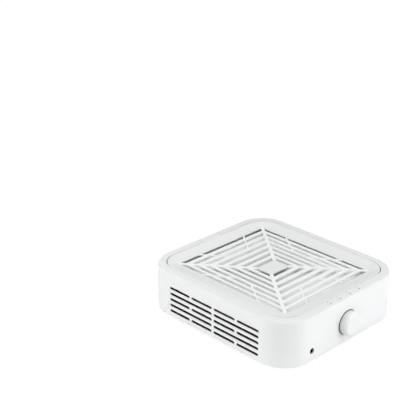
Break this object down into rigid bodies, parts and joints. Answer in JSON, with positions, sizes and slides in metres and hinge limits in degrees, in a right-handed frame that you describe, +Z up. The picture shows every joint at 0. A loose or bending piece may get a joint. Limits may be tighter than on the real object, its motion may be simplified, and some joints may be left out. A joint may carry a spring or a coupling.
{
  "type": "nail dust collector",
  "caption": "Low rounded box with a lift-out slotted grille, drop-in pleated filter, centrifugal fan that blows out through side vents, and a turning speed knob.",
  "frame": {"origin": "middle of the whole object's bounding box, knob included, on the table plane; the middle of the body is 6 mm further back", "axes": "+Z up, -Y out of the side with the knob and power socket, X along the width between the two vented sides"},
  "size_m": [0.242, 0.277, 0.07],
  "materials": {
    "case_white": "satin moulded ABS, fine spark-eroded grain",
    "grille_white": "satin moulded ABS",
    "knob_white": "smooth semi-gloss ABS",
    "print_grey": "printed grey ink",
    "black_plastic": "black moulded ABS, matt",
    "fan_black": "black glass-filled nylon",
    "rubber_black": "black rubber",
    "foam_grey": "closed-cell foam strip",
    "filter_white": "pleated non-woven filter paper",
    "filter_frame": "white moulded frame",
    "steel": "zinc-plated steel",
    "aluminium_cast": "die-cast aluminium",
    "laminated_steel": "stacked electrical steel",
    "magnet": "bonded ferrite",
    "copper": "enamelled copper wire",
    "board_green": "green solder-masked board",
    "component_blue": "sleeved capacitor",
    "connector_ivory": "ivory nylon",
    "wire_red": "insulated wire",
    "brass": "nickel-plated brass"
  },
  "bodies": {
    "case": {"body_shell": "case_white", "base_cover": "case_white", "rubber_feet": "rubber_black", "case_screws": "steel", "speed_marks": "print_grey", "filter_gasket": "foam_grey", "filter_well": "case_white", "well_screws": "steel", "inlet_ring": "black_plastic", "ring_screws": "steel", "inlet_guard": "steel", "fan_tray": "black_plastic", "front_air_guide": "black_plastic", "rear_air_guide": "black_plastic", "guide_screws": "steel", "upper_bearing": "steel", "lower_bearing": "steel", "stator_core": "laminated_steel", "stator_windings": "copper", "motor_base": "aluminium_cast", "motor_board": "board_green", "motor_screws": "steel", "pot_body": "black_plastic", "pot_nut": "steel", "pot_washer": "steel", "dc_jack": "black_plastic", "jack_contact_pin": "steel", "control_board": "board_green", "board_capacitor": "component_blue", "board_transistor": "black_plastic", "board_connector": "connector_ivory", "board_screws": "steel", "motor_wires": "wire_red", "pot_leads": "brass", "knob_cup": "black_plastic", "cup_screws": "steel"},
    "grille": {"grille_panel": "grille_white"},
    "filter": {"filter_frame": "filter_frame", "filter_media": "filter_white"},
    "rotor": {"impeller": "fan_black", "impeller_shroud": "fan_black", "rotor_cup": "steel", "rotor_magnet": "magnet", "motor_shaft": "steel"},
    "knob": {"speed_knob": "knob_white", "knob_skirt": "black_plastic", "pot_shaft": "aluminium_cast"}
  },
  "joints": [
    {"name": "grille_lift", "type": "slide", "parent": "case", "child": "grille", "axis": [0, 0, 1], "range_m": [0, 0.12]},
    {"name": "filter_lift", "type": "slide", "parent": "case", "child": "filter", "axis": [0, 0, 1], "range_m": [0, 0.06]},
    {"name": "fan_spin", "type": "hinge", "parent": "case", "child": "rotor", "pos_m": [0, 0.006, 0.015], "axis": [0, 0, 1], "continuous": true},
    {"name": "knob_turn", "type": "hinge", "parent": "case", "child": "knob", "pos_m": [0.0016, -0.1265, 0.0316], "axis": [0, 1, 0], "range_deg": [-120, 160]}
  ],
  "couplings": [
    {"joint": "filter_lift", "follows": "grille_lift", "ratio": 0.5}
  ]
}
